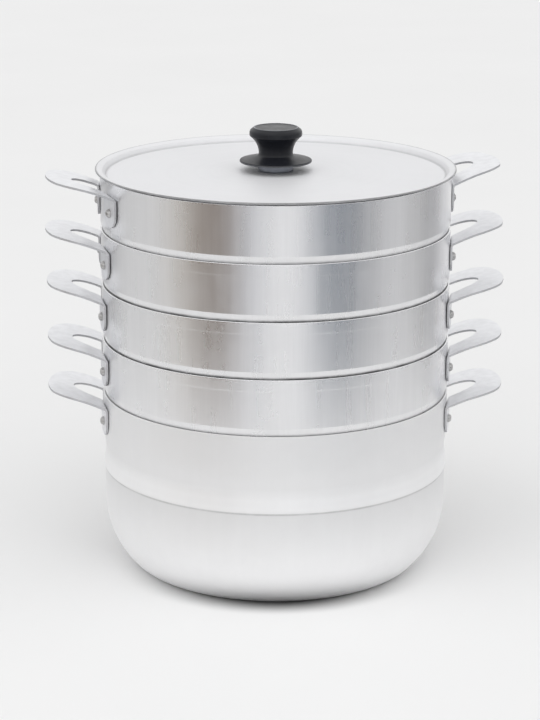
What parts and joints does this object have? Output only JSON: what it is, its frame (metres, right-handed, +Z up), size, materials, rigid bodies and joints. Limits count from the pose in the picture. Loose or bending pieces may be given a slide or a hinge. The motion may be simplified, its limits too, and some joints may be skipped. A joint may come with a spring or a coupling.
{
  "type": "steamer pot",
  "caption": "Round stacking steamer: a deep pot with a pinched waist, perforated tiers with riveted loop handles, and a lid with a black knob.",
  "frame": {"origin": "middle of the pot's base, on the surface that it stands on", "axes": "+Z up the axis of the stack, +X through the right-hand handles, -Y towards the front of the picture"},
  "size_m": [0.3966, 0.308, 0.384],
  "materials": {
    "pot_aluminium": "fine matte, drawn",
    "tier_aluminium": "semi-gloss satin, drawn",
    "lid_aluminium": "smooth satin",
    "handle_aluminium": "matte, stamped",
    "rivet_aluminium": "bright satin",
    "knob_plastic": "satin, moulded",
    "collar_metal": "satin, turned",
    "screw_steel": "zinc plated"
  },
  "bodies": {
    "pot": {"pot_body": "pot_aluminium", "pot_handle_left": "handle_aluminium", "pot_handle_right": "handle_aluminium", "pot_rivets": "rivet_aluminium"},
    "tier_1": {"tier_1_dish": "tier_aluminium", "tier_1_handle_left": "handle_aluminium", "tier_1_handle_right": "handle_aluminium", "tier_1_rivets": "rivet_aluminium"},
    "tier_2": {"tier_2_dish": "tier_aluminium", "tier_2_handle_left": "handle_aluminium", "tier_2_handle_right": "handle_aluminium", "tier_2_rivets": "rivet_aluminium"},
    "tier_3": {"tier_3_dish": "tier_aluminium", "tier_3_handle_left": "handle_aluminium", "tier_3_handle_right": "handle_aluminium", "tier_3_rivets": "rivet_aluminium"},
    "tier_4": {"tier_4_dish": "tier_aluminium", "tier_4_handle_left": "handle_aluminium", "tier_4_handle_right": "handle_aluminium", "tier_4_rivets": "rivet_aluminium"},
    "lid": {"lid_disc": "lid_aluminium", "knob": "knob_plastic", "knob_collar": "collar_metal", "knob_washer": "screw_steel", "knob_screw": "screw_steel"}
  },
  "joints": [
    {"name": "tier_1_lift", "type": "slide", "parent": "pot", "child": "tier_1", "axis": [0, 0, 1], "range_m": [0, 0.06]},
    {"name": "tier_2_lift", "type": "slide", "parent": "tier_1", "child": "tier_2", "axis": [0, 0, 1], "range_m": [0, 0.06]},
    {"name": "tier_3_lift", "type": "slide", "parent": "tier_2", "child": "tier_3", "axis": [0, 0, 1], "range_m": [0, 0.06]},
    {"name": "tier_4_lift", "type": "slide", "parent": "tier_3", "child": "tier_4", "axis": [0, 0, 1], "range_m": [0, 0.06]},
    {"name": "lid_lift", "type": "slide", "parent": "tier_4", "child": "lid", "axis": [0, 0, 1], "range_m": [0, 0.06]}
  ]
}
